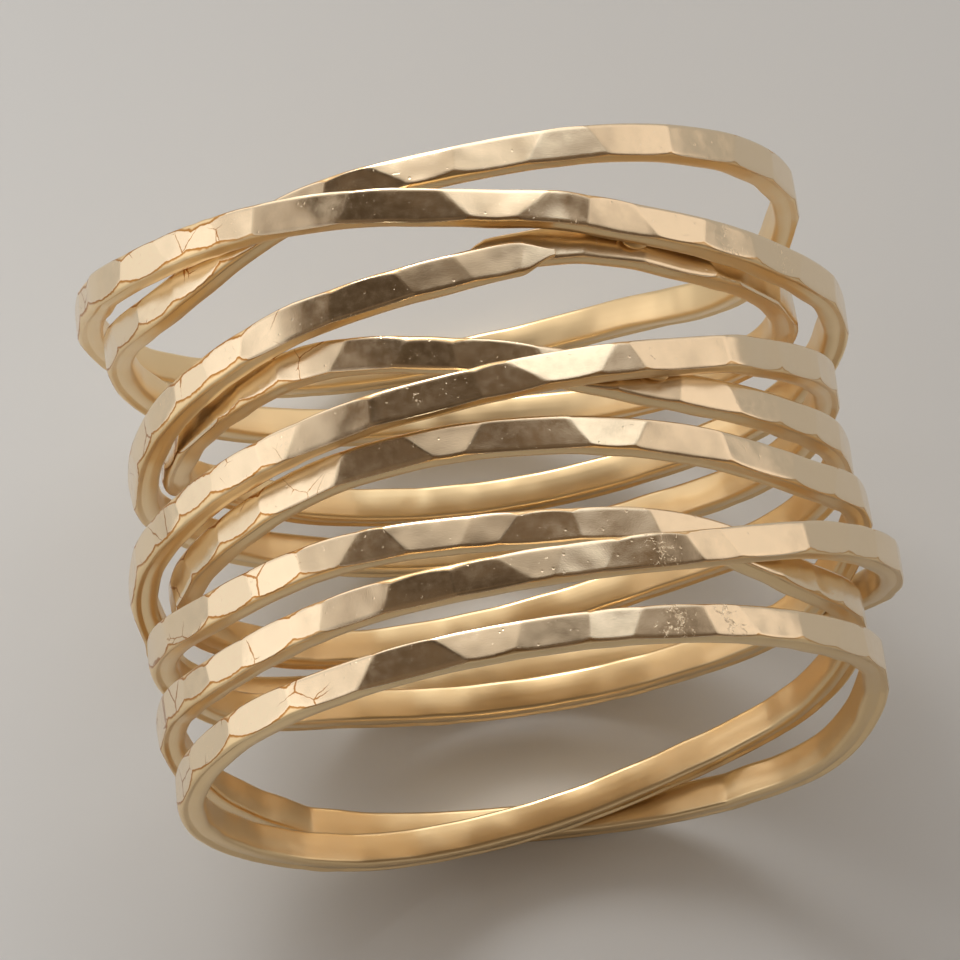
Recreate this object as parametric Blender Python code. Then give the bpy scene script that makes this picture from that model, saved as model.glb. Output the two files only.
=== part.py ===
"""Wrap ring: one hammered round-edged wire, wound nine times round the finger in loose
crossing turns, and tacked with solder where the turns lie on each other.

Metres, +Z up. The finger runs along Y and the ring lies on its lowest turns, on z = 0,
with its origin under its middle. Seen from above, a turn runs from left (-X) over the
top to the right (+X) and comes back underneath.
"""

import math
import random

import bmesh
import bpy
import numpy as np

MM = 0.001

# Sizes that can be set by themselves
BORE = 17.0 * MM          # free width inside the innermost turns, a size 7 ring
SPREAD = 15.6 * MM        # along the finger, between the middles of the outermost turns
WIRE_WIDE = 1.0 * MM      # across the hammered face
WIRE_THICK = 0.78 * MM    # from the smooth inner face to the hammered one
LAY_GAP = 0.05 * MM       # between turns that lie on each other, bridged only by solder
INNER_ROUND = 0.22 * MM   # rounding of the edges towards the finger
OUTER_ROUND = 0.12 * MM   # rounding of the edges of the hammered face
BLOW_LONG = 2.5 * MM      # usual length of one hammer mark
BLOW_LEAN = 0.08 * MM     # most that a mark leans, one edge of the face against the other
BLOW_SPREAD = 0.04 * MM   # most that a blow widens the wire
END_LAP = 2.6 * MM        # how far the two ends of the wire run on each other
END_POINT = 1.0 * MM      # length over which an end narrows to its tip
END_ASIDE = 0.26 * MM     # how far the starting end lies to the far side of the finishing one
CREASE_SLANT = 0.35 * MM  # most that a crease between two marks runs askew, to each side
SOLDER_WIDE = 0.60 * MM   # a bead of solder between two turns
REST_FLAT = 0.20 * MM     # depth worn flat on the turns that the ring lies on

# Places round the finger, in degrees: 180 is left, 90 on top, 0 right and -90 underneath.
ANGLES = (180, 150, 120, 90, 60, 30, 0, -30, -60, -90, -120, -150)

# Where each turn runs along the finger, as a share of SPREAD from the near end, at
# ANGLES. A turn is named for its place on top of the ring, counted from the far side,
# and the rows are in the order in which the wire makes them.
PLACES = {
    "third": (0.635, 0.675, 0.72, 0.75, 0.765, 0.765, 0.775, 0.80, 0.83, 0.87, 0.87, 0.87),
    "first": (0.885, 0.87, 0.935, 0.95, 0.97, 0.985, 0.985, 0.955, 1.0, 1.0, 0.98, 0.965),
    "second": (0.96, 0.93, 0.91, 0.855, 0.805, 0.775, 0.765, 0.72, 0.715, 0.71, 0.715, 0.72),
    "fourth": (0.66, 0.655, 0.655, 0.59, 0.52, 0.495, 0.50, 0.49, 0.495, 0.47, 0.44, 0.425),
    "sixth": (0.41, 0.415, 0.44, 0.435, 0.41, 0.375, 0.39, 0.325, 0.32, 0.325, 0.325, 0.30),
    "seventh": (0.315, 0.29, 0.29, 0.265, 0.25, 0.195, 0.20, 0.165, 0.135, 0.09, 0.055, 0.05),
    "ninth": (0.05, 0.06, 0.06, 0.06, 0.065, 0.075, 0.10, 0.065, 0.08, 0.105, 0.115, 0.14),
    "eighth": (0.18, 0.17, 0.18, 0.18, 0.195, 0.245, 0.285, 0.335, 0.365, 0.385, 0.375, 0.36),
    "fifth": (0.44, 0.475, 0.50, 0.525, 0.555, 0.59, 0.625, 0.61, 0.625, 0.625, 0.64, 0.645),
}

# How high each turn runs at ANGLES, in layers of wire: 0 lies on the finger, 1 on a turn.
LIFTS = {
    "third": (0.75, 0.9, 0.8, 0.6, 0.0, 0.0, 0.0, 0.0, 0.0, 0.2, 0.2, 0.5),
    "first": (0.9, 0.6, 0.1, 0.2, 0.5, 0.6, 0.7, 0.6, 0.8, 1.0, 1.0, 1.4),
    "second": (1.7, 1.5, 1.1, 1.0, 1.0, 1.2, 1.7, 1.3, 0.7, 0.2, 0.0, -0.1),
    "fourth": (-0.4, -0.3, -0.1, 0.0, 0.0, 0.5, 1.1, 0.8, 0.4, 0.2, 0.1, 0.0),
    "sixth": (0.0, 0.1, 0.2, 0.3, 0.4, 0.9, 1.4, 0.7, 0.1, 0.0, 0.0, 0.5),
    "seventh": (1.0, 0.6, 0.3, 0.1, 0.0, 0.2, 0.7, 0.5, 0.1, 0.0, 0.1, 0.5),
    "ninth": (0.8, 0.6, 0.4, 0.4, 0.6, 0.9, 1.1, 1.1, 1.0, 1.0, 1.0, 0.9),
    "eighth": (1.1, 0.8, 0.6, 0.7, 1.0, 1.5, 2.2, 1.7, 1.1, 1.0, 1.0, 1.1),
    "fifth": (1.3, 1.1, 1.0, 1.0, 1.0, 1.0, 1.0, 0.9, 0.9, 1.0, 1.0, 0.8),
}

# Where the creases between hammer marks cross each turn, in degrees, on the top of the
# ring. The rest of the wire is marked about every BLOW_LONG.
CREASES = {
    "third": (168, 157, 147, 139, 131, 114, 101.5, 91, 81),
    "first": (168, 157, 146, 135, 124, 113, 101, 90, 76, 65, 51, 35, 22, 10),
    "second": (171, 165, 152, 142.5, 136, 131, 124, 108, 91, 79, 70.5, 60, 49, 38, 25, 12),
    "fourth": (147, 138, 128, 115.5, 104, 95, 80, 67, 55, 44, 33, 22, 12),
    "sixth": (160, 147, 135, 118, 103.5, 94, 76, 65.5, 49.5, 34.5, 22.5, 12),
    "seventh": (165, 149.5, 139, 128, 118.5, 110, 98, 90.5, 79, 64.5, 50, 38, 28, 18, 8),
    "ninth": (164, 149, 134, 118.5, 103.5, 92, 80, 72, 59, 51.5, 40, 29, 20, 8),
    "eighth": (169, 159.5, 151, 142, 130.5, 124.5, 112, 101, 91, 83.5, 75, 61, 54, 38, 18.5, 8),
    "fifth": (168, 159, 150, 140.5, 129.5, 123, 109, 92, 84, 71, 65.5, 48.5, 35, 21, 10),
}

SEAM_ANGLE = 84.0         # where the two ends of the wire meet, on top of the third turn
STEPS = 120               # places round the finger where the lie of the turns is worked out
MOST_RISE = 0.16          # steepest climb of one turn onto another
BLOW_UNEVEN = 0.15        # share of a mark by which its neighbours may be longer or shorter
THIN_END = 0.35           # share of the wire's thickness left at the tip of an end
POINTED_END = 0.2         # share of its width left there
SEED = 7

TURNS = len(PLACES)


def lying_radius():
    """Radius of the wire's middle where it lies on the finger."""
    return (BORE + WIRE_THICK) / 2


def layer():
    """Height from the middle of one turn to the middle of the turn that lies on it."""
    return WIRE_THICK + LAY_GAP


def on_ring(values, at):
    """Smooth closed curve through evenly spaced values, read at places counted in values."""
    values = np.asarray(values, float)
    count = len(values)
    first = np.floor(at).astype(int)
    part = at - first
    before, here = values[(first - 1) % count], values[first % count]
    after, later = values[(first + 1) % count], values[(first + 2) % count]
    leave, reach = (after - before) / 2, (later - here) / 2
    return (
        here * (2 * part**3 - 3 * part**2 + 1)
        + after * (3 * part**2 - 2 * part**3)
        + leave * (part**3 - 2 * part**2 + part)
        + reach * (part**3 - part**2)
    )


def settle(along, height):
    """Raises each turn where it would run into the one that it lies on, with gentle ramps.

    The turn that LIFTS puts higher at a crossing stays the upper one.
    """
    step = math.tau * lying_radius() / STEPS
    slant = np.hypot(1, np.gradient(along) / step).reshape(TURNS, STEPS)
    wide = (WIRE_WIDE + BLOW_SPREAD + LAY_GAP) * slant
    along = along.reshape(TURNS, STEPS)
    order = np.argsort(height.reshape(TURNS, STEPS), axis=0, kind="stable")
    for _ in range(12):
        turns = height.reshape(TURNS, STEPS)
        for k in range(STEPS):
            for place, upper in enumerate(order[:, k]):
                for lower in order[:place, k]:
                    reach = (wide[upper, k] + wide[lower, k]) / 2
                    if abs(along[upper, k] - along[lower, k]) < reach:
                        turns[upper, k] = max(turns[upper, k], turns[lower, k] + layer())
        height = turns.ravel()
        for _ in range(len(ANGLES)):
            height = np.maximum(height, np.roll(height, 1) - MOST_RISE * step)
            height = np.maximum(height, np.roll(height, -1) - MOST_RISE * step)
    return height


def lie_of_turns():
    """Place along the finger and radius of the wire's middle, STEPS to a turn."""
    at = np.arange(TURNS * STEPS) * len(ANGLES) / STEPS
    places = np.array(list(PLACES.values())).ravel()
    lifts = np.array([LIFTS[name] for name in PLACES]).ravel()
    along = (on_ring(places, at) - 0.5) * SPREAD
    return along, settle(along, lying_radius() + on_ring(lifts, at) * layer())


def eased(share):
    """A share held between 0 and 1, with a soft start and end."""
    share = np.clip(share, 0, 1)
    return share * share * (3 - 2 * share)


def degrees_for(length):
    """Degrees round the finger that a length of wire takes."""
    return math.degrees(length / lying_radius())


def wire_reach():
    """Degrees turned, from the left of the third turn, at the wire's start and finish."""
    half_lap = degrees_for(END_LAP) / 2
    seam = 180 - SEAM_ANGLE
    return seam - half_lap, seam + 360 * TURNS + half_lap


def wire_middle(turned, lie):
    """Points on the wire's middle line, with its width and thickness there.

    The start lies on the finger and the finish on the start. Both are thinned along
    the lap, so that the joint is hardly thicker than the wire.
    """
    along, height = lie
    start, finish = wire_reach()
    after = (turned - start) / degrees_for(END_LAP)
    before = (finish - turned) / degrees_for(END_LAP)
    from_tip = np.minimum(after, before)
    thick = WIRE_THICK * np.clip(THIN_END + (1 - THIN_END) * from_tip, THIN_END, 1)
    point = eased(from_tip * END_LAP / END_POINT)
    wide = WIRE_WIDE * (POINTED_END + (1 - POINTED_END) * point)
    below = WIRE_THICK * np.clip(THIN_END + (1 - THIN_END) * (1 - before), THIN_END, 1)
    at = turned / 360 * STEPS
    radius, place = on_ring(height, at), on_ring(along, at)
    starting, finishing = eased((3 - after) / 2), eased((3 - before) / 2)
    radius = radius + starting * (BORE / 2 + thick / 2 - radius)
    radius = radius + finishing * (BORE / 2 + below + LAY_GAP + thick / 2 - radius)
    place = place + starting * END_ASIDE
    angle = np.radians(180 - turned)
    points = np.stack([radius * np.cos(angle), place, radius * np.sin(angle)], -1)
    return points, wide, thick


def corner(turned, lie, side, face, spread=0.0, across=0.0, up=0.0):
    """A point on the wire's surface.

    side is -1 or 1 for its two edges, face -1 for the inner face and 1 for the hammered
    one; across and up move the point in from that edge and that face.
    """
    near = np.array([turned - 0.5, turned, turned + 0.5])
    points, wide, thick = wire_middle(near, lie)
    along = (points[2] - points[0]) / np.linalg.norm(points[2] - points[0])
    outward = points[1] * np.array([1, 0, 1])
    outward -= along * outward.dot(along)
    outward /= np.linalg.norm(outward)
    sideways = np.cross(along, outward)
    slim = wide[1] / WIRE_WIDE
    flat = thick[1] / WIRE_THICK
    from_middle = side * (wide[1] / 2 + spread / 2 - across * slim)
    return points[1] + sideways * from_middle + outward * face * (thick[1] / 2 - up * flat)


def crease_places(chance):
    """Degrees turned at every crease: those of CREASES, and more where they leave a gap."""
    start, finish = wire_reach()
    marked = {start, finish}
    for row, angles in enumerate(CREASES.values()):
        turned = 360 * row + 180 - np.array(angles)
        marked.update(turned, turned + 360 * TURNS)
    marked = sorted(place for place in marked if start <= place <= finish)
    blow = degrees_for(BLOW_LONG)
    places = [start]
    for before, after in zip(marked, marked[1:]):
        marks = max(1, round((after - before) / blow))
        for mark in range(1, marks):
            uneven = chance.uniform(-BLOW_UNEVEN, BLOW_UNEVEN)
            places.append(before + (after - before) * (mark + uneven) / marks)
        places.append(after)
    return places


def hammer_creases(chance):
    """The creases between hammer marks: degrees turned, how far each slants, how deep its
    two ends are sunk, and how much the wire is spread there."""
    creases = []
    for turned in crease_places(chance):
        slant = degrees_for(chance.uniform(-CREASE_SLANT, CREASE_SLANT))
        lean = chance.uniform(-BLOW_LEAN, BLOW_LEAN)
        creases.append((turned, slant, max(lean, 0), max(-lean, 0), chance.uniform(0, BLOW_SPREAD)))
    start, finish = wire_reach()
    creases[0] = (start, 0, 0, 0, 0)
    creases[-1] = (finish, 0, 0, 0, 0)
    return creases


def hammered_side(crease, lie):
    """The four points of the hammered face and its edges at a crease."""
    turned, slant, sunk_near, sunk_far, spread = crease
    points = []
    for side, sunk in ((-1, sunk_near), (1, sunk_far)):
        at = turned + side * slant
        edge = corner(at, lie, side, 1, spread, 0, sunk + OUTER_ROUND)
        face = corner(at, lie, side, 1, spread, OUTER_ROUND, sunk)
        points += [edge, face] if side < 0 else [face, edge]
    return np.array(points)


def finger_side(turned, spread, lie):
    """The four points of the smooth inner face and its edges."""
    return np.array([
        corner(turned, lie, 1, -1, spread, 0, INNER_ROUND),
        corner(turned, lie, 1, -1, spread, INNER_ROUND, 0),
        corner(turned, lie, -1, -1, spread, INNER_ROUND, 0),
        corner(turned, lie, -1, -1, spread, 0, INNER_ROUND),
    ])


def wire_rings(lie):
    """Eight-sided rings along the wire, two to a hammer mark: its crease and its middle.

    The hammered face is flat from crease to crease. The inner face follows the finger.
    """
    creases = hammer_creases(random.Random(SEED))
    outer = [hammered_side(crease, lie) for crease in creases]
    rings = []
    for i, crease in enumerate(creases):
        rings.append([*outer[i], *finger_side(crease[0], crease[4], lie)])
        following = creases[min(i + 1, len(creases) - 1)]
        if following[0] - crease[0] > degrees_for(BLOW_LONG) / 2:
            halfway, spread = (crease[0] + following[0]) / 2, (crease[4] + following[4]) / 2
            rings.append([*(outer[i] + outer[i + 1]) / 2, *finger_side(halfway, spread, lie)])
    return np.array(rings)


def set_down(rings):
    """The ring moved to lie on z = 0 over the origin, its lowest turns worn flat, and the move."""
    low, high = rings.reshape(-1, 3).min(axis=0), rings.reshape(-1, 3).max(axis=0)
    floor = low[2] + REST_FLAT
    move = -np.array([(low[0] + high[0]) / 2, (low[1] + high[1]) / 2, floor])
    rings = rings + move
    rings[..., 2] = np.maximum(rings[..., 2], 0)
    return rings, move


def solder_places(lie):
    """The middle of each stretch where one turn lies on another."""
    along, height = (values.reshape(TURNS, STEPS) for values in lie)
    places = []
    for upper, lower in ((u, w) for u in range(TURNS) for w in range(TURNS) if u != w):
        gap = height[upper] - height[lower] - WIRE_THICK
        apart = np.abs(along[upper] - along[lower])
        touching = (gap > 0) & (gap < 1.5 * LAY_GAP) & (apart < WIRE_WIDE - SOLDER_WIDE / 2)
        for run in np.split(np.arange(STEPS), np.flatnonzero(np.diff(touching)) + 1):
            if not touching[run[0]]:
                continue
            k = run[len(run) // 2]
            angle = math.radians(180 - k * 360 / STEPS)
            radius = (height[upper, k] + height[lower, k]) / 2
            place = (along[upper, k] + along[lower, k]) / 2
            places.append((radius * math.cos(angle), place, radius * math.sin(angle)))
    return np.array(places).reshape(-1, 3)


def clear_scene():
    for obj in list(bpy.data.objects):
        bpy.data.objects.remove(obj, do_unlink=True)


def collection(name):
    made = bpy.data.collections.new(name)
    bpy.context.scene.collection.children.link(made)
    return made


def gold():
    """Polished yellow gold."""
    made = bpy.data.materials.new("polished_gold")
    made.use_nodes = True
    shader = made.node_tree.nodes["Principled BSDF"]
    shader.inputs["Base Color"].default_value = (0.80, 0.52, 0.24, 1)
    shader.inputs["Metallic"].default_value = 1.0
    shader.inputs["Roughness"].default_value = 0.22
    return made


def loft(rings, name):
    """A closed solid skinned over rings of equally many points, with a flat cap on each end."""
    shape = bmesh.new()
    loops = []
    for ring in rings:
        corners = [shape.verts.new(point) for point in ring]
        loops.append([shape.edges.new((a, b)) for a, b in zip(corners, corners[1:] + corners[:1])])
    sides = len(loops[0])
    for loop, following in zip(loops, loops[1:]):
        for near, far in zip(loop, following):
            a, b = near.verts
            c, d = far.verts
            shape.faces.new((a, b, d, c))
    for loop in (loops[0], loops[-1]):
        bmesh.ops.contextual_create(shape, geom=loop)
    bmesh.ops.recalc_face_normals(shape, faces=shape.faces)
    mesh = bpy.data.meshes.new(name)
    shape.to_mesh(mesh)
    shape.free()
    mesh.shade_smooth()
    mesh.set_sharp_from_angle(angle=math.radians(18))
    return mesh


def solder_beads(places, name):
    """A round bead of solder at each place."""
    shape = bmesh.new()
    for place in places:
        bead = bmesh.ops.create_uvsphere(
            shape, u_segments=8, v_segments=5, radius=SOLDER_WIDE / 2
        )
        bmesh.ops.translate(shape, verts=bead["verts"], vec=place)
    mesh = bpy.data.meshes.new(name)
    shape.to_mesh(mesh)
    shape.free()
    return mesh


clear_scene()
ring_parts = collection("wrap_ring")
helpers = collection("helpers")

lie = lie_of_turns()
rings, move = set_down(wire_rings(lie))
wire = bpy.data.objects.new("wire", loft(rings, "wire"))
wire.data.materials.append(gold())
ring_parts.objects.link(wire)

solder = bpy.data.objects.new("solder", solder_beads(solder_places(lie) + move, "solder"))
solder.hide_render = True
solder.display_type = "WIRE"
helpers.objects.link(solder)

tack = wire.modifiers.new("tack", "BOOLEAN")
tack.operation = "UNION"
tack.solver = "EXACT"
tack.object = solder
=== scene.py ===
"""Looks of the wrap ring: one hammered gold wire wound nine times round the finger."""

import math
import random

import bmesh
import bpy
import numpy as np
from mathutils import Matrix, Vector


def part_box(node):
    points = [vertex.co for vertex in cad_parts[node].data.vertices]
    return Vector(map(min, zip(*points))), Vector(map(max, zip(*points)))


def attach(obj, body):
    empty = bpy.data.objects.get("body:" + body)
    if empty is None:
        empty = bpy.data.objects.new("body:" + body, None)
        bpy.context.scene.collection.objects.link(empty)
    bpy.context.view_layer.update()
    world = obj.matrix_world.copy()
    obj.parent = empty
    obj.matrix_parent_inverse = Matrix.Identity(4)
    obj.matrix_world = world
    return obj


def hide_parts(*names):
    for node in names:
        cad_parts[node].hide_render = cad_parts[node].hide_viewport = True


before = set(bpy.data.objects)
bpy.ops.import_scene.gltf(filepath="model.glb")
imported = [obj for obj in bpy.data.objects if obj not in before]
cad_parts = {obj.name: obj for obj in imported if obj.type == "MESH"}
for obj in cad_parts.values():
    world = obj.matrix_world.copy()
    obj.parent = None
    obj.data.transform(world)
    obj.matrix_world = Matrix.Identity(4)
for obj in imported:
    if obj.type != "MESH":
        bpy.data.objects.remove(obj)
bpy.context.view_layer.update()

# THE WIRE
# One length of 18 gauge yellow gold wire, wound round a mandrel in nine loose turns that
# cross each other. Its outer face was planished with a hammer, mark beside mark, and its
# inner face was left smooth. The two ends are filed thin and lapped on top of the ring.

MM = 0.001
BORE = 17.0 * MM
SPREAD = 15.6 * MM             # of all turns along the finger, between middle lines
STATIONS = 12                  # places for each turn in the tables below
STEPS = 120                    # points for each turn of the wire's path
SETTLE_ROUNDS = 12             # passes that lift each turn off the one below
RAMP_ROUNDS = 12               # points that a ramp grows by in each of them
MOST_RISE = 0.16               # steepest ramp of one turn over another

# The drawn wire: its size, the radius of its edges, and the rise of its outer face in the
# middle, given at shares of half its width.
WIRE_WIDE = 1.0 * MM
WIRE_THICK = 0.78 * MM
LAY_GAP = 0.05 * MM            # between two turns that lie on each other
INNER_ROUND = 0.13 * MM
OUTER_ROUND = 0.12 * MM
CROWN = 0.055 * MM
CROWN_SHARES = (-1, -0.88, -0.74, -0.56, -0.32, 0, 0.32, 0.56, 0.74, 0.88, 1)

# Planishing folded the metal over the sides of the wire. That left a fine groove under the
# lip: its depth, and how far down the side that is, as a share of the side.
GROOVE = ((0.020 * MM, 0.08), (0.060 * MM, 0.27), (0.065 * MM, 0.33), (0, 0.53))
RIM_FROM = 0.72                # share of half the width where the face turns down to the lip
RIM_DROP = 0.06 * MM

# The hammer marks are nearly flat. Their planes lean to either side, and each blow spread
# the wire a little and pressed its inner face against the mandrel.
BLOW_LONG = 1.9 * MM
BLOW_UNEVEN = 0.15             # how far a mark's beginning strays, as a share of its length
BLOW_LEAN = 0.065 * MM         # of a mark's plane, at the side of the wire
BLOW_SPREAD = 0.055 * MM       # wider in the middle of the deepest mark
LEAST_SPREAD = 0.3             # of the weakest blow, as a share of the strongest
MARK_FLAT = 0.80               # 1 for a flat mark, 0 for one that follows the ring
INNER_SWELL = 0.030 * MM       # how deep the inner face is pressed in each mark
INNER_LEAN = 0.035 * MM

# How far below the top of the wire two marks meet. Between two angles, on the left, the
# blows were lighter.
CREASE_DEEP = (0.050 * MM, 0.075 * MM)
CREASE_FAINT = (0.012 * MM, 0.048 * MM)
FAINT_FROM, FAINT_TO = 127, 190   # degrees up from the right of the ring
MOST_ASKEW = 0.6               # of a crease along the wire, as a share of half a mark

# The filed ends, thinned and pointed to shares of the wire's size, lie side by side.
SEAM_ANGLE = 84.0              # degrees, too
END_LAP = 2.6 * MM
END_POINT = 1.0 * MM
END_ASIDE = 0.42 * MM          # the starting end lies this far to the far side
THIN_END = 0.35
POINTED_END = 0.2
START_LEAN = 0.06 * MM         # of the mark on the starting end
EASE_LAPS = 3                  # laps from its tip where an end begins to draw in
ASIDE_DEGREES = 0.5            # to each side of a point, for the wire's direction there
SAME_PLACE = 1e-8              # points closer than this are one
SEED = 7

# Where each turn runs along the finger, at every 30 degrees from the left over the top.
PLACES = {
    "third": (0.635, 0.675, 0.72, 0.75, 0.765, 0.765, 0.775, 0.80, 0.83, 0.87, 0.87, 0.87),
    "first": (0.885, 0.87, 0.935, 0.95, 0.97, 0.985, 0.985, 0.955, 1.0, 1.0, 0.98, 0.965),
    "second": (0.96, 0.93, 0.91, 0.855, 0.805, 0.775, 0.765, 0.72, 0.715, 0.71, 0.715, 0.72),
    "fourth": (0.66, 0.655, 0.655, 0.59, 0.52, 0.495, 0.50, 0.49, 0.495, 0.47, 0.44, 0.425),
    "sixth": (0.41, 0.415, 0.44, 0.435, 0.41, 0.375, 0.39, 0.325, 0.32, 0.325, 0.325, 0.30),
    "seventh": (0.315, 0.29, 0.29, 0.265, 0.25, 0.195, 0.20, 0.165, 0.135, 0.09, 0.055, 0.05),
    "ninth": (0.05, 0.06, 0.06, 0.06, 0.065, 0.075, 0.10, 0.065, 0.08, 0.105, 0.115, 0.14),
    "eighth": (0.18, 0.17, 0.18, 0.18, 0.195, 0.245, 0.285, 0.335, 0.365, 0.385, 0.375, 0.36),
    "fifth": (0.44, 0.475, 0.50, 0.525, 0.555, 0.59, 0.625, 0.61, 0.625, 0.625, 0.64, 0.645),
}

# How high each turn runs there, in layers of wire.
LIFTS = {
    "third": (0.75, 0.9, 0.8, 0.6, 0.0, 0.0, 0.0, 0.0, 0.0, 0.2, 0.2, 0.5),
    "first": (0.9, 0.6, 0.1, 0.2, 0.5, 0.6, 0.7, 0.6, 0.8, 1.0, 1.0, 1.4),
    "second": (1.7, 1.5, 1.1, 1.0, 1.0, 1.2, 1.7, 1.3, 0.7, 0.2, 0.0, -0.1),
    "fourth": (-0.4, -0.3, -0.1, 0.0, 0.0, 0.5, 1.1, 0.8, 0.4, 0.2, 0.1, 0.0),
    "sixth": (0.0, 0.1, 0.2, 0.3, 0.4, 0.9, 1.4, 0.7, 0.1, 0.0, 0.0, 0.5),
    "seventh": (1.0, 0.6, 0.3, 0.1, 0.0, 0.2, 0.7, 0.5, 0.1, 0.0, 0.1, 0.5),
    "ninth": (0.8, 0.6, 0.4, 0.4, 0.6, 0.9, 1.1, 1.1, 1.0, 1.0, 1.0, 0.9),
    "eighth": (1.1, 0.8, 0.6, 0.7, 1.0, 1.5, 2.2, 1.7, 1.1, 1.0, 1.0, 1.1),
    "fifth": (1.3, 1.1, 1.0, 1.0, 1.0, 1.0, 1.0, 0.9, 0.9, 1.0, 1.0, 0.8),
}

# The hammer marks on top of each turn, from left to right: the degrees at which the mark
# begins, and how far it leans towards the far side, -1 to 1.
MARKS = {
    "third": (
        (168, 0.2), (157, 0.3), (147, 0.1), (139, 0.3), (131, -0.4), (114, -0.9), (101.5, -0.1),
        (91, 0.4), (81, 0.0),
    ),
    "first": (
        (168, 0.2), (157, 0.3), (146, 0.0), (135, 0.0), (124, -0.3), (113, -0.8), (101, 0.9),
        (90, 0.7), (76, -0.3), (65, 0.5), (51, 0.3), (35, -0.2), (22, -0.4), (10, 0.0),
    ),
    "second": (
        (171, 0.1), (165, 0.3), (152, 0.0), (142.5, 0.3), (136, -0.1), (131, 0.2), (124, 0.0),
        (108, -0.7), (91, 0.9), (79, -0.4), (70.5, -0.5), (60, 0.6), (49, 0.3), (38, 0.5),
        (25, -0.2), (12, -0.3),
    ),
    "fourth": (
        (147, 0.1), (138, 0.2), (128, 0.3), (115.5, -0.4), (104, -1.0), (95, -0.7), (80, 0.0),
        (67, 0.0), (55, -0.1), (44, 0.5), (33, 0.4), (22, 0.0), (12, -0.2),
    ),
    "sixth": (
        (160, 0.0), (147, 0.2), (135, 0.1), (118, -0.8), (103.5, 0.6), (94, -0.4), (76, 0.7),
        (65.5, -0.1), (49.5, 0.6), (34.5, 0.4), (22.5, -0.3), (12, 0.2),
    ),
    "seventh": (
        (165, 0.3), (149.5, 0.0), (139, 0.2), (128, 0.3), (118.5, -0.4), (110, 0.6), (98, 0.2),
        (90.5, -0.8), (79, -0.4), (64.5, 0.3), (50, 0.0), (38, 0.3), (28, 0.5), (18, 0.0),
        (8, 0.0),
    ),
    "ninth": (
        (164, 0.3), (149, 0.2), (134, 0.4), (118.5, -0.8), (103.5, 0.7), (92, 0.2), (80, 0.0),
        (72, -0.5), (59, -0.1), (51.5, 0.6), (40, 0.5), (29, -0.3), (20, 0.0), (8, 0.0),
    ),
    "eighth": (
        (169, 0.3), (159.5, 0.1), (151, 0.3), (142, 0.1), (130.5, 0.1), (124.5, -0.2),
        (112, -0.8), (101, -0.7), (91, 0.4), (83.5, 0.0), (75, -0.8), (61, -0.1), (54, 0.6),
        (38, 0.5), (18.5, -0.1), (8, 0.0),
    ),
    "fifth": (
        (168, 0.2), (159, 0.0), (150, 0.3), (140.5, 0.1), (129.5, 0.2), (123, -0.5), (109, -0.8),
        (92, -0.7), (84, 0.8), (71, -0.1), (65.5, 0.5), (48.5, 0.5), (35, 0.3), (21, 0.0),
        (10, -0.2),
    ),
}

# Where a slip of the file scuffed the marks: the turn, and the degrees.
SCUFFS = (("second", 44), ("second", 30), ("eighth", 67), ("ninth", 65), ("ninth", 55))
SCUFF_LONG = 0.8 * MM

TURNS = len(PLACES)
LYING_RADIUS = (BORE + WIRE_THICK) / 2
LAYER = WIRE_THICK + LAY_GAP


def on_ring(values, at):
    """Smooth closed curve through evenly spaced values, read at places counted in values."""
    values = np.asarray(values, float)
    count = len(values)
    first = np.floor(at).astype(int)
    part = at - first
    before, here = values[(first - 1) % count], values[first % count]
    after, later = values[(first + 1) % count], values[(first + 2) % count]
    leave, reach = (after - before) / 2, (later - here) / 2
    return (
        here * (2 * part**3 - 3 * part**2 + 1)
        + after * (3 * part**2 - 2 * part**3)
        + leave * (part**3 - 2 * part**2 + part)
        + reach * (part**3 - part**2)
    )


def settle(along, height):
    """Raises each turn where it would run into the one that it lies on, with gentle ramps."""
    step = math.tau * LYING_RADIUS / STEPS
    slant = np.hypot(1, np.gradient(along) / step).reshape(TURNS, STEPS)
    wide = (WIRE_WIDE + BLOW_SPREAD + LAY_GAP) * slant
    along = along.reshape(TURNS, STEPS)
    order = np.argsort(height.reshape(TURNS, STEPS), axis=0, kind="stable")
    for _ in range(SETTLE_ROUNDS):
        turns = height.reshape(TURNS, STEPS)
        for k in range(STEPS):
            for place, upper in enumerate(order[:, k]):
                for lower in order[:place, k]:
                    reach = (wide[upper, k] + wide[lower, k]) / 2
                    if abs(along[upper, k] - along[lower, k]) < reach:
                        turns[upper, k] = max(turns[upper, k], turns[lower, k] + LAYER)
        height = turns.ravel()
        for _ in range(RAMP_ROUNDS):
            height = np.maximum(height, np.roll(height, 1) - MOST_RISE * step)
            height = np.maximum(height, np.roll(height, -1) - MOST_RISE * step)
    return height


at_steps = np.arange(TURNS * STEPS) * STATIONS / STEPS
wire_along = (on_ring(np.array(list(PLACES.values())).ravel(), at_steps) - 0.5) * SPREAD
laid_height = on_ring(np.array([LIFTS[name] for name in PLACES]).ravel(), at_steps) * LAYER
wire_height = settle(wire_along, LYING_RADIUS + laid_height)


def eased(share):
    """A share from 0 to 1 that starts and ends gently."""
    share = np.clip(share, 0, 1)
    return share * share * (3 - 2 * share)


def degrees_for(length):
    """Degrees round the ring that a length of wire takes up."""
    return math.degrees(length / LYING_RADIUS)


LAP_DEGREES = degrees_for(END_LAP)
WIRE_START = 180 - SEAM_ANGLE - LAP_DEGREES / 2
WIRE_FINISH = WIRE_START + 360 * TURNS + LAP_DEGREES


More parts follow.
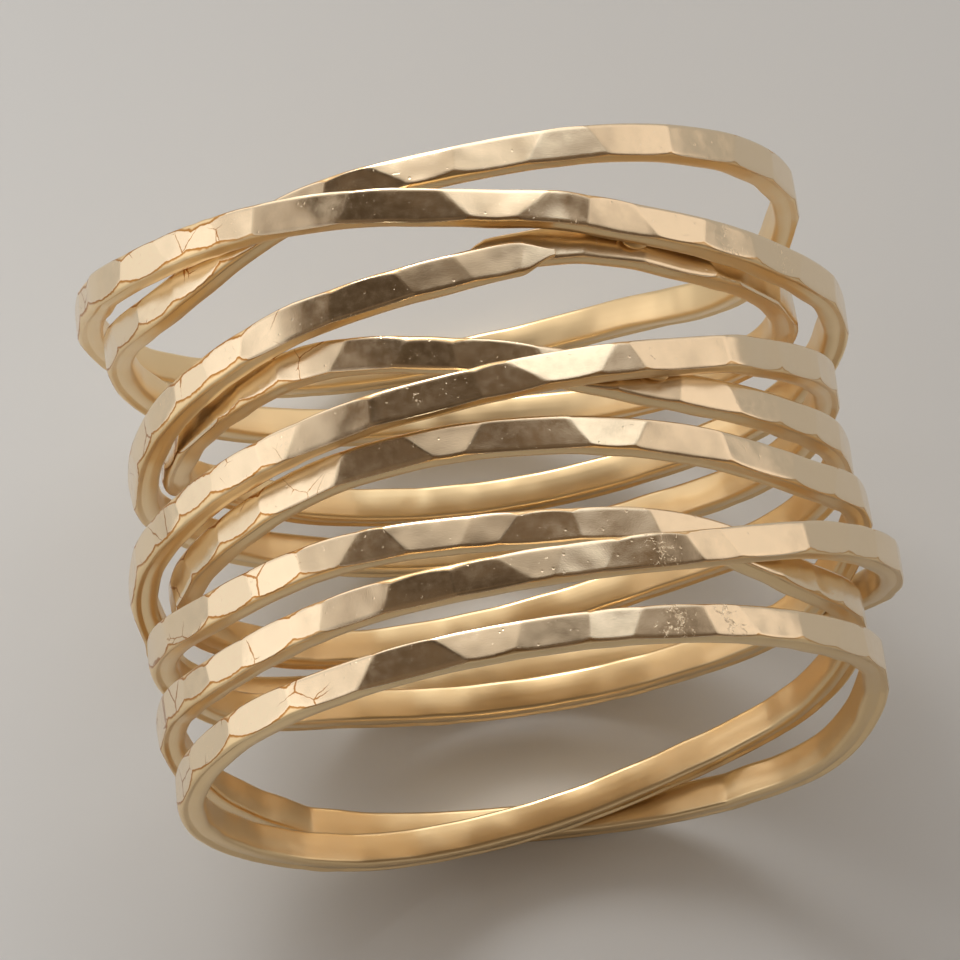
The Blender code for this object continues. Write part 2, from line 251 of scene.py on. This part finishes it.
def wire_middle(turned):
    """Points on the wire's middle line, with its width and thickness there.

    turned counts degrees along the wire, clockwise from the left of the ring.
    """
    after = (turned - WIRE_START) / LAP_DEGREES
    before = (WIRE_FINISH - turned) / LAP_DEGREES
    from_tip = np.minimum(after, before)
    thick = WIRE_THICK * np.clip(THIN_END + (1 - THIN_END) * from_tip, THIN_END, 1)
    point = eased(from_tip * END_LAP / END_POINT)
    wide = WIRE_WIDE * (POINTED_END + (1 - POINTED_END) * point)
    below = WIRE_THICK * np.clip(THIN_END + (1 - THIN_END) * (1 - before), THIN_END, 1)
    at = turned / 360 * STEPS
    radius, place = on_ring(wire_height, at), on_ring(wire_along, at)
    starting = eased((EASE_LAPS - after) / (EASE_LAPS - 1))
    finishing = eased((EASE_LAPS - before) / (EASE_LAPS - 1))
    radius = radius + starting * (BORE / 2 + thick / 2 - radius)
    radius = radius + finishing * (BORE / 2 + below + LAY_GAP + thick / 2 - radius)
    place = place + starting * END_ASIDE
    angle = np.radians(180 - turned)
    points = np.stack([radius * np.cos(angle), place, radius * np.sin(angle)], -1)
    return points, wide, thick


def unit(vectors):
    """Vectors brought to a length of one."""
    return vectors / np.linalg.norm(vectors, axis=-1, keepdims=True)


def on_wire(turned, across, up, spread):
    """Points of the wire's surface, by how far they lie across and up from its middle."""
    points, wide, thick = wire_middle(turned)
    ahead = wire_middle(turned + ASIDE_DEGREES)[0]
    behind = wire_middle(turned - ASIDE_DEGREES)[0]
    along = unit(ahead - behind)
    outward = points * np.array([1, 0, 1])
    outward = unit(outward - along * (along * outward).sum(-1, keepdims=True))
    sideways = np.cross(along, outward)
    aside = across * wide / WIRE_WIDE + np.sign(across) * spread / 2
    raised = up * thick / WIRE_THICK
    return points + sideways * aside[..., None] + outward * raised[..., None]


def begin_marks(chance):
    """Degrees turned where every mark begins, and its lean or None where it isn't in MARKS."""
    leans = {WIRE_START: None, WIRE_FINISH: None}
    for row, marks in enumerate(MARKS.values()):
        for angle, lean in marks:
            for turned in (360 * row + 180 - angle, 360 * (row + TURNS) + 180 - angle):
                if WIRE_START <= turned <= WIRE_FINISH:
                    leans[turned] = lean
    marked = sorted(leans)
    blow = degrees_for(BLOW_LONG)
    begun = [(WIRE_START, None)]
    for before, after in zip(marked, marked[1:]):
        count = max(1, round((after - before) / blow))
        for mark in range(1, count):
            uneven = chance.uniform(-BLOW_UNEVEN, BLOW_UNEVEN)
            begun.append((before + (after - before) * (mark + uneven) / count, None))
        begun.append((after, leans[after]))
    return begun


def drawn(low, high, count):
    """Evenly spread random values."""
    return np.array([chance.uniform(low, high) for _ in range(count)])


chance = random.Random(SEED)
begun = begin_marks(chance)
crease_at = np.array([turned for turned, _ in begun])
count = len(crease_at) - 1
leans = [chance.uniform(-1, 1) if lean is None else lean for _, lean in begun[:-1]]
lean = np.array(leans) * BLOW_LEAN
lean[0], lean[-1] = START_LEAN, 0
radius = on_ring(wire_height, (crease_at[:-1] + crease_at[1:]) / 720 * STEPS)
half_long = np.radians(np.diff(crease_at)) / 2 * radius

deep, faint = drawn(*CREASE_DEEP, count + 1), drawn(*CREASE_FAINT, count + 1)
angle_at = (180 - crease_at) % 360
faintly = (angle_at > FAINT_FROM) & (angle_at < FAINT_TO)
crease_deep = np.where(faintly, faint, deep)

bulge = drawn(LEAST_SPREAD, 1, count) * BLOW_SPREAD
inner_lean = drawn(-1, 1, count) * INNER_LEAN

# Two marks meet where their planes cross, so a crease runs askew where they lean apart.
slant = np.zeros(count + 1)
slant[1:-1] = (lean[1:] - lean[:-1]) * radius[1:] / (half_long[1:] + half_long[:-1])
most = MOST_ASKEW * np.minimum(half_long[1:], half_long[:-1])
slant[1:-1] = np.degrees(np.clip(slant[1:-1], -most, most) / radius[1:])


def wire_section():
    """The drawn wire's outline, from the outer face over the right side and the inner face.

    Across and up from its middle, and 1 where the hammer struck, 0.5 on the sides, 0 inside.
    """
    half, top, bottom = WIRE_WIDE / 2, WIRE_THICK / 2, -WIRE_THICK / 2
    face = half - OUTER_ROUND
    slope = math.atan(2 * CROWN / face)
    rows = [(share * face, top - CROWN * share**2, 1.0) for share in CROWN_SHARES]
    for share in (0.2, 0.4, 0.6, 0.8, 1.0):
        turn = slope + (math.pi / 2 - slope) * share
        drop = CROWN + OUTER_ROUND * (math.cos(slope) - math.cos(turn))
        rows.append((face + OUTER_ROUND * (math.sin(turn) - math.sin(slope)), top - drop, 1.0))
    side, lip, _ = rows[-1]
    foot = bottom + INNER_ROUND
    for deep, share in GROOVE:
        rows.append((side - deep, lip + (foot - lip) * share, 0.5))
    for degrees in (0, 30, 60, 90):
        turn = math.radians(degrees)
        inner = side - INNER_ROUND * (1 - math.cos(turn))
        rows.append((inner, bottom + INNER_ROUND * (1 - math.sin(turn)), 0.0))
    right_side = rows[len(CROWN_SHARES):]
    rows.append((0, bottom, 0.0))
    rows += [(-across, up, hammered) for across, up, hammered in reversed(right_side)]
    return np.array(rows).T


across, up, hammered = wire_section()
SIDES = len(across)

# The outer face turns down to a lip at both of its edges.
level = across / (WIRE_WIDE / 2)
rim = RIM_DROP * np.clip((np.abs(level) - RIM_FROM) / (1 - RIM_FROM), 0, 1) ** 2

# Rings of points within a mark, as shares of its length, closer together at its creases.
SHARES = (0.0, 0.03, 0.10, 0.24, 0.42, 0.60, 0.78, 0.91, 0.97)
mark = np.append(np.repeat(np.arange(count), len(SHARES)), count - 1)
share = np.append(np.tile(SHARES, count), 1.0)
ring_slant = slant[mark] * (1 - share) + slant[mark + 1] * share
ring_turned = crease_at[mark] * (1 - share) + crease_at[mark + 1] * share
point_turned = ring_turned[:, None] + ring_slant[:, None] * level * hammered
ring_spread = bulge[mark] * np.sin(math.pi * share)


def struck_depth(which):
    """How far below the top of the round wire the plane of a mark lies, at each point."""
    middle = (crease_at[which] + crease_at[which + 1])[:, None] / 2
    here = np.radians(point_turned - middle) * radius[which][:, None]
    long = half_long[which][:, None]
    ends = crease_deep[which][:, None], crease_deep[which + 1][:, None]
    along = (here + long) / (2 * long)
    deep = ends[0] * (1 - along) + ends[1] * along
    hollow = MARK_FLAT * (long**2 - here**2) / (2 * radius[which][:, None])
    return deep + hollow + rim - lean[which][:, None] * level


depths = [struck_depth(np.clip(mark + step, 0, count - 1)) for step in (-1, 0, 1)]
plane_up = WIRE_THICK / 2 - np.maximum.reduce(depths)
struck = np.where(hammered == 1, up - plane_up, -WIRE_THICK)

# Each blow also pressed the smooth inner face against the mandrel, so it swells gently.
swell = np.sin(math.pi * share) ** 2
pressed = (swell * INNER_SWELL)[:, None] - (inner_lean[mark] * swell)[:, None] * level
sunk = np.maximum(struck, 0) + pressed * (hammered == 0)
wire_points = on_wire(point_turned, across, up - sunk, ring_spread[:, None] * (hammered > 0))

# The wire lies in the middle of its solid's box, as high as that, and flat on the floor.
cad_low, cad_high = (np.array(corner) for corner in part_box("wire"))
low, high = wire_points.reshape(-1, 3).min(0), wire_points.reshape(-1, 3).max(0)
move = (cad_low + cad_high - low - high) / 2
move[2] = cad_high[2] - high[2]
wire_points += move
wire_points[..., 2] = np.maximum(wire_points[..., 2], 0)

# A flat grid, from -0.5 to 0.5 both ways, is wrapped round the wire and closed. Its map
# counts millimetres along the wire and round it. Its points carry the depth struck, and
# where the marks are light or scuffed.
rings = len(wire_points)
girth = np.hypot(np.diff(across, append=across[0]), np.diff(up, append=up[0]))
round_mm = np.append(0, np.cumsum(girth)) / MM
along_mm = np.radians(ring_turned) * LYING_RADIUS / MM
names = list(PLACES)
scuffed_at = np.array([360 * names.index(name) + 180 - angle for name, angle in SCUFFS])
scuff_away = np.abs(ring_turned[:, None] - scuffed_at).min(1)
scuffed = eased(1 - scuff_away / degrees_for(SCUFF_LONG))
light_blow = faintly[mark] * (1 - share) + faintly[mark + 1] * share


def of_grid(spot):
    """The ring, and the place round it, that a point of the flat grid stands for."""
    return round((spot.x + 0.5) * (rings - 1)), round((spot.y + 0.5) * SIDES)


shape = bmesh.new()
run_map = shape.loops.layers.uv.new("wire_run")
depth_layer = shape.verts.layers.float.new("struck")
light_layer = shape.verts.layers.float.new("light_blow")
scuff_layer = shape.verts.layers.float.new("scuffed")
bmesh.ops.create_grid(shape, x_segments=rings - 1, y_segments=SIDES, size=0.5, calc_uvs=True)
for face in shape.faces:
    for loop in face.loops:
        ring, side = of_grid(loop.vert.co)
        loop[run_map].uv = along_mm[ring], round_mm[side]
for vert in shape.verts:
    ring, side = of_grid(vert.co)
    vert.co = wire_points[ring, side % SIDES]
    vert[depth_layer] = struck[ring, side % SIDES] / MM
    vert[light_layer] = light_blow[ring]
    vert[scuff_layer] = scuffed[ring]
bmesh.ops.remove_doubles(shape, verts=shape.verts, dist=SAME_PLACE)
bmesh.ops.holes_fill(shape, edges=[edge for edge in shape.edges if edge.is_boundary])
bmesh.ops.recalc_face_normals(shape, faces=shape.faces)
mesh = bpy.data.meshes.new("hammered_wire")
shape.to_mesh(mesh)
shape.free()
mesh.shade_smooth()
wire = bpy.data.objects.new("hammered_wire", mesh)
bpy.context.scene.collection.objects.link(wire)


def linear(code):
    """Linear colour of an sRGB hex code."""
    parts = [int(code[i:i + 2], 16) / 255 for i in (1, 3, 5)]
    return (*[p / 12.92 if p <= 0.04045 else ((p + 0.055) / 1.055) ** 2.4 for p in parts], 1.0)


def add(tree, kind, values, **attributes):
    """Adds a node with its attributes. Each value is a constant or another node's output."""
    made = tree.nodes.new(kind)
    for name, value in attributes.items():
        setattr(made, name, value)
    for name, value in values.items():
        if isinstance(value, bpy.types.NodeSocket):
            tree.links.new(value, made.inputs[name])
        else:
            made.inputs[name].default_value = value
    return made


def noise(tree, where, size, detail, rough, distortion=0.0):
    """Noise with features of one size, in the units of the place where it is read."""
    values = {"Vector": where, "Scale": 1 / size, "Detail": detail, "Roughness": rough}
    return add(tree, "ShaderNodeTexNoise", {**values, "Distortion": distortion})


def ramp(tree, source, start, end, low=0.0, high=1.0, kind="LINEAR"):
    """Goes from low to high while its source goes from start to end."""
    limits = {"Value": source, "From Min": start, "From Max": end, "To Min": low, "To Max": high}
    return add(tree, "ShaderNodeMapRange", limits, interpolation_type=kind).outputs["Result"]


def maths(tree, operation, *terms):
    """One operation on constants and on outputs of nodes."""
    return add(tree, "ShaderNodeMath", dict(enumerate(terms)), operation=operation).outputs[0]


def mix(tree, share, first, second, kind="RGBA"):
    """Mixes two colours, vectors or plain numbers by a share."""
    one, other, output = {"FLOAT": (2, 3, 0), "VECTOR": (4, 5, 1), "RGBA": (6, 7, 2)}[kind]
    values = {0: share, one: first, other: second}
    return add(tree, "ShaderNodeMix", values, data_type=kind).outputs[output]


# Planished yellow gold: the hammer burnished the marks bright, with fine grain and small
# pits from its face. Between them the drawn wire shows, a little redder and duller, with
# fine lines along it from the draw plate. Sizes are in millimetres.
FACE_COLOUR = "#F5E0BF"
FACE_ROUGH = (0.15, 0.24)
FACE_GRAIN = 0.04
EDGE_SIZE = 0.25               # of the notches in the edge of a mark
EDGE_RAGGED = 0.03             # how far they shift the depth at which the mark ends
EDGE_DEPTH = (-0.001, 0.002)   # over which the drawn skin gives way to the mark
DRAWN_COLOUR = "#F4D8A8"
DRAWN_ROUGH = (0.28, 0.32)
LINE_APART = 0.10
LINE_LONG = 9.0
NOISE_BAND = (0.35, 0.65)      # where nearly all values of a noise lie
PIT_APART = 0.45
PIT_SIZE = (0.05, 0.10)        # of a pit's bottom and of its edge, as shares of that

# Painted shade: a dark line painted into the colour along the edges of the marks, most of it
# where they are light.
EDGE_SHADE_COLOUR = "#B9803F"
EDGE_SHADE_DEPTH = (-0.022, -0.0066)   # over which it sets in towards a mark
EDGE_SHADE_STRONG = (0.55, 1.0)     # on the deep marks and on the light ones

# The light marks are slightly cracked, in some parts of the wire only.
CRACK_COLOUR = "#B98652"
CRACK_APART = 1.1
CRACK_WIDE = 0.026             # as a share of that
CRACK_BENT = 0.12              # by the noise of the notches
CRACK_BAND = (0.50, 0.66)      # of the noise that opens them

# The scratches in the scuffed places, and the gentle swells that the hammer left.
SCRATCH_SIZE = 0.22
SCRATCH_BAND = (0.68, 0.78)    # of the noise that cuts them
SCRATCH_ROUGH = 0.18
SCUFF_STRONG = 0.16            # how much it adds to that noise
WORKED_SIZE = 1.3
WORKED_DEEP = 0.055

# How high the grain, the draw lines and the scratches stand, in depths of a pit.
PIT_DEEP = 0.004
GRAIN_HIGH, LINE_HIGH, SCRATCH_HIGH = 0.36, 0.12, -1.2

gold = bpy.data.materials.new("planished_yellow_gold")
gold.use_nodes = True
tree = gold.node_tree
shader = tree.nodes["Principled BSDF"]

to_mm = {"Scale": (1 / MM, 1 / MM, 1 / MM)}
position = add(tree, "ShaderNodeTexCoord", {}).outputs["Object"]
position = add(tree, "ShaderNodeMapping", {**to_mm, "Vector": position}).outputs["Vector"]
along_wire = {
    "Scale": (1 / LINE_LONG, 1 / LINE_APART, 1.0),
    "Vector": add(tree, "ShaderNodeUVMap", {}, uv_map="wire_run").outputs["UV"],
}
lengthways = add(tree, "ShaderNodeMapping", along_wire).outputs["Vector"]
depth, light, scuff = (
    add(tree, "ShaderNodeAttribute", {}, attribute_name=name).outputs["Fac"]
    for name in ("struck", "light_blow", "scuffed")
)
draw_lines = noise(tree, lengthways, 1.0, 1.0, 0.5).outputs["Fac"]
grain = noise(tree, position, FACE_GRAIN, 2.0, 0.7).outputs["Fac"]
notches = noise(tree, position, EDGE_SIZE, 3.0, 0.6)
worked = noise(tree, position, WORKED_SIZE, 1.0, 0.4).outputs["Fac"]
scratches = noise(tree, position, SCRATCH_SIZE, 3.0, 0.7, distortion=1.5).outputs["Fac"]

# Where the burnished face of a mark is, and the painted shade along its edge.
notched = maths(tree, "SUBTRACT", notches.outputs["Fac"], 0.5)
edge = maths(tree, "MULTIPLY_ADD", notched, EDGE_RAGGED, depth)
burnished = ramp(tree, edge, *EDGE_DEPTH)
border = ramp(tree, edge, *EDGE_SHADE_DEPTH, kind="SMOOTHSTEP")
edge_shade = maths(tree, "MULTIPLY", border, ramp(tree, light, 0.0, 1.0, *EDGE_SHADE_STRONG))

# Where the cracks, the pits and the scratches are.
bent = mix(tree, CRACK_BENT, position, notches.outputs["Color"], kind="VECTOR")
cells = {"Vector": bent, "Scale": 1 / CRACK_APART, "Randomness": 1.0}
cell_edge = add(tree, "ShaderNodeTexVoronoi", cells, feature="DISTANCE_TO_EDGE")
opened = maths(tree, "MULTIPLY", ramp(tree, worked, *CRACK_BAND, 0.0, CRACK_WIDE), light)
near_crack = maths(tree, "LESS_THAN", cell_edge.outputs["Distance"], opened)
crack = maths(tree, "MULTIPLY", near_crack, burnished)
spots = {"Vector": position, "Scale": 1 / PIT_APART, "Randomness": 1.0}
from_pit = add(tree, "ShaderNodeTexVoronoi", spots).outputs["Distance"]
pit = ramp(tree, from_pit, *PIT_SIZE, 1.0, 0.0, kind="SMOOTHSTEP")
reached = maths(tree, "MULTIPLY_ADD", scuff, SCUFF_STRONG, scratches)
scratch = ramp(tree, reached, *SCRATCH_BAND, kind="SMOOTHSTEP")

# Colour, roughness and relief of the drawn wire, the marks and what is on them.
# The drawn wire's colour is darkened by the painted shade along the edges of the marks.
drawn_colour = mix(tree, edge_shade, linear(DRAWN_COLOUR), linear(EDGE_SHADE_COLOUR))
marked_colour = mix(tree, burnished, drawn_colour, linear(FACE_COLOUR))
colour = mix(tree, crack, marked_colour, linear(CRACK_COLOUR))
lined = ramp(tree, draw_lines, *NOISE_BAND, *DRAWN_ROUGH)
grained = ramp(tree, notches.outputs["Fac"], *NOISE_BAND, *FACE_ROUGH)
scratched = maths(tree, "MULTIPLY_ADD", scratch, SCRATCH_ROUGH, grained)
rough = mix(tree, burnished, lined, scratched, kind="FLOAT")
pitted = maths(tree, "SUBTRACT", maths(tree, "MULTIPLY", grain, GRAIN_HIGH), pit)
cut = maths(tree, "MULTIPLY_ADD", scratch, SCRATCH_HIGH, pitted)
drawn_relief = maths(tree, "MULTIPLY", draw_lines, LINE_HIGH)
relief = mix(tree, burnished, drawn_relief, cut, kind="FLOAT")
swells = {"Height": worked, "Strength": 1.0, "Distance": WORKED_DEEP * MM}
uneven = add(tree, "ShaderNodeBump", swells).outputs["Normal"]
fine = {"Height": relief, "Strength": 1.0, "Distance": PIT_DEEP * MM, "Normal": uneven}
shader.inputs["Metallic"].default_value = 1.0
tree.links.new(colour, shader.inputs["Base Color"])
tree.links.new(rough, shader.inputs["Roughness"])
tree.links.new(add(tree, "ShaderNodeBump", fine).outputs["Normal"], shader.inputs["Normal"])
wire.data.materials.append(gold)
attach(wire, "root")
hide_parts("wire")

# THE SOLDER TACKS
# A small bead of hard gold solder holds the turns together at each of six crossings. It ran
# into the gap between the two turns and was left as it froze, so it is smooth and rounded.

BEAD_WIDE = 0.54 * MM
BEAD_THICK, BEAD_LONG = 0.5, 1.6   # as shares of that
BEAD_SMOOTH = 3                    # subdivisions

# Degrees round the ring, then millimetres along the finger and from its middle line.
TACKS = (
    (60, 4.45, 9.31),
    (126, 6.55, 9.44),
    (-87, -6.26, 9.31),
    (-39, -2.62, 9.72),
    (78, 0.75, 9.30),
    (60, 0.59, 9.31),
)
shape = bmesh.new()
for degrees, place, radius in TACKS:
    angle = math.radians(degrees)
    middle = Vector((radius * math.cos(angle), place, radius * math.sin(angle))) * MM
    turned = Matrix.Rotation(-angle, 4, "Y") @ Matrix.Diagonal((BEAD_THICK, 1, BEAD_LONG, 1))
    bmesh.ops.create_icosphere(
        shape, subdivisions=BEAD_SMOOTH, radius=BEAD_WIDE / 2,
        matrix=Matrix.Translation(middle + Vector(move)) @ turned,
    )
mesh = bpy.data.meshes.new("solder_tacks")
shape.to_mesh(mesh)
shape.free()
mesh.shade_smooth()
tacks = bpy.data.objects.new("solder_tacks", mesh)
bpy.context.scene.collection.objects.link(tacks)

# Hard gold solder, as it froze: a little darker than the marks, with a fine matt skin.
SOLDER_COLOUR = "#E6C48E"
SOLDER_ROUGH = 0.42
solder = bpy.data.materials.new("hard_gold_solder")
solder.use_nodes = True
shader = solder.node_tree.nodes["Principled BSDF"]
shader.inputs["Metallic"].default_value = 1.0
shader.inputs["Base Color"].default_value = linear(SOLDER_COLOUR)
shader.inputs["Roughness"].default_value = SOLDER_ROUGH
tacks.data.materials.append(solder)
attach(tacks, "root")
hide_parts("wire")

# THE TABLE AND THE ROOM
# A plain pale table top under a soft lamp on the far side, between two tall white
# reflectors. The room overhead is dim and warm, with soft patches of light and shade.

TABLE_HALF = 1.0               # metres
BOARD_COLOUR = "#DCDEDE"
BOARD_ROUGH = 0.9
ROOM_COLOUR = "#DFC0A0"
ROOM_DIM = 0.15
PATCH_SHARES = (0.6, 1.6)      # of that, in the darkest and the lightest patches
PATCH_SIZE = 1 / 3.0           # as the room's directions count it
PATCH_BAND = (0.38, 0.62)      # where nearly all values of its noise lie

# Soft lights of the room by direction: towards it, full and outer reach in degrees,
# strength, colour.
ROOM_LIGHTS = {
    "left_reflector": ((-0.97, 0.10, 0.05), 18, 36, 0.66, "#F8F6F6"),
    "right_reflector": ((0.95, 0.20, 0.05), 20, 42, 0.84, "#FFF6EE"),
    "right_window": ((0.48, 0.46, 0.75), 8, 20, 0.95, "#F2F6FA"),
    "far_wall": ((0.0, 0.93, 0.36), 36, 56, 0.66, "#FFFAF4"),
    "far_window": ((0.0, 0.90, 0.43), 18, 32, 1.20, "#F2F6FA"),
    "near_wall": ((0.0, -0.95, 0.25), 15, 45, 0.10, "#FFF4E4"),
}

# Flat lamps just outside the picture, turned to the ring: place and size in metres, watts.
LAMPS = {
    "far_lamp": ((-0.10, 0.34, 0.24), (0.12, 0.12), 0.50),
    "left_card": ((-0.026, 0.004, 0.018), (0.060, 0.032), 0.0029),
}
LAMP_COLOUR = "#F8F6F4"
LAMP_AIM = Vector((0, 0, 0.01))

floor_mesh = bpy.data.meshes.new("floor")
shape = bmesh.new()
bmesh.ops.create_grid(shape, x_segments=1, y_segments=1, size=TABLE_HALF)
shape.to_mesh(floor_mesh)
shape.free()
floor = bpy.data.objects.new("floor", floor_mesh)
bpy.context.scene.collection.objects.link(floor)

# Pale board, matt all over.
board = bpy.data.materials.new("matt_pale_board")
board.use_nodes = True
shader = board.node_tree.nodes["Principled BSDF"]
shader.inputs["Base Color"].default_value = linear(BOARD_COLOUR)
shader.inputs["Roughness"].default_value = BOARD_ROUGH
floor.data.materials.append(board)

room = bpy.data.worlds.new("dim_room")
room.use_nodes = True
tree = room.node_tree
tree.nodes.clear()
towards = add(tree, "ShaderNodeTexCoord", {}).outputs["Generated"]
patches = noise(tree, towards, PATCH_SIZE, 1.0, 0.4).outputs["Fac"]
darkest, lightest = (share * ROOM_DIM for share in PATCH_SHARES)
shade = ramp(tree, patches, *PATCH_BAND, darkest, lightest, kind="SMOOTHSTEP")
dim = {"Color": linear(ROOM_COLOUR), "Strength": shade}
total = add(tree, "ShaderNodeBackground", dim).outputs[0]
for direction, full, reach, power, colour in ROOM_LIGHTS.values():
    vectors = {0: towards, 1: Vector(direction).normalized()}
    facing = add(tree, "ShaderNodeVectorMath", vectors, operation="DOT_PRODUCT").outputs["Value"]
    outer, inner = math.cos(math.radians(reach)), math.cos(math.radians(full))
    glow = ramp(tree, facing, outer, inner, 0.0, power, kind="SMOOTHSTEP")
    lit = {"Color": linear(colour), "Strength": glow}
    both = {0: total, 1: add(tree, "ShaderNodeBackground", lit).outputs[0]}
    total = add(tree, "ShaderNodeAddShader", both).outputs[0]
add(tree, "ShaderNodeOutputWorld", {"Surface": total})
bpy.context.scene.world = room

for name, (place, (wide, tall), watts) in LAMPS.items():
    light = bpy.data.lights.new(name, "AREA")
    light.shape = "RECTANGLE"
    light.size, light.size_y = wide, tall
    light.energy = watts
    light.color = linear(LAMP_COLOUR)[:3]
    lamp = bpy.data.objects.new(name, light)
    lamp.location = place
    lamp.rotation_euler = (LAMP_AIM - Vector(place)).to_track_quat("-Z", "Y").to_euler()
    lamp.visible_camera = False
    bpy.context.scene.collection.objects.link(lamp)
bpy.context.scene.view_settings.view_transform = "Standard"

# THE CAMERA
# It stands nearly over the ring, a little to the near side and to the left.

AZIMUTH, ELEVATION = math.radians(-8.7), math.radians(71.5)
DISTANCE = 0.6
AIM_RIGHT, AIM_UP = -0.333 * MM, 0.806 * MM   # from the middle of the finger hollow
SENSOR, LENS = 36, 810         # millimetres
to_camera = Vector((
    math.sin(AZIMUTH) * math.cos(ELEVATION),
    -math.cos(AZIMUTH) * math.cos(ELEVATION),
    math.sin(ELEVATION),
))
to_right = Vector((math.cos(AZIMUTH), math.sin(AZIMUTH), 0))
to_top = to_camera.cross(to_right)
aim = Vector(move) + AIM_RIGHT * to_right + AIM_UP * to_top
lens = bpy.data.cameras.new("camera")
lens.sensor_width, lens.lens = SENSOR, LENS
camera = bpy.data.objects.new("camera", lens)
camera.matrix_world = Matrix.Translation(aim + DISTANCE * to_camera) @ Matrix((
    (to_right.x, to_top.x, to_camera.x, 0),
    (to_right.y, to_top.y, to_camera.y, 0),
    (to_right.z, to_top.z, to_camera.z, 0),
    (0, 0, 0, 1),
))
bpy.context.scene.collection.objects.link(camera)
bpy.context.scene.camera = camera
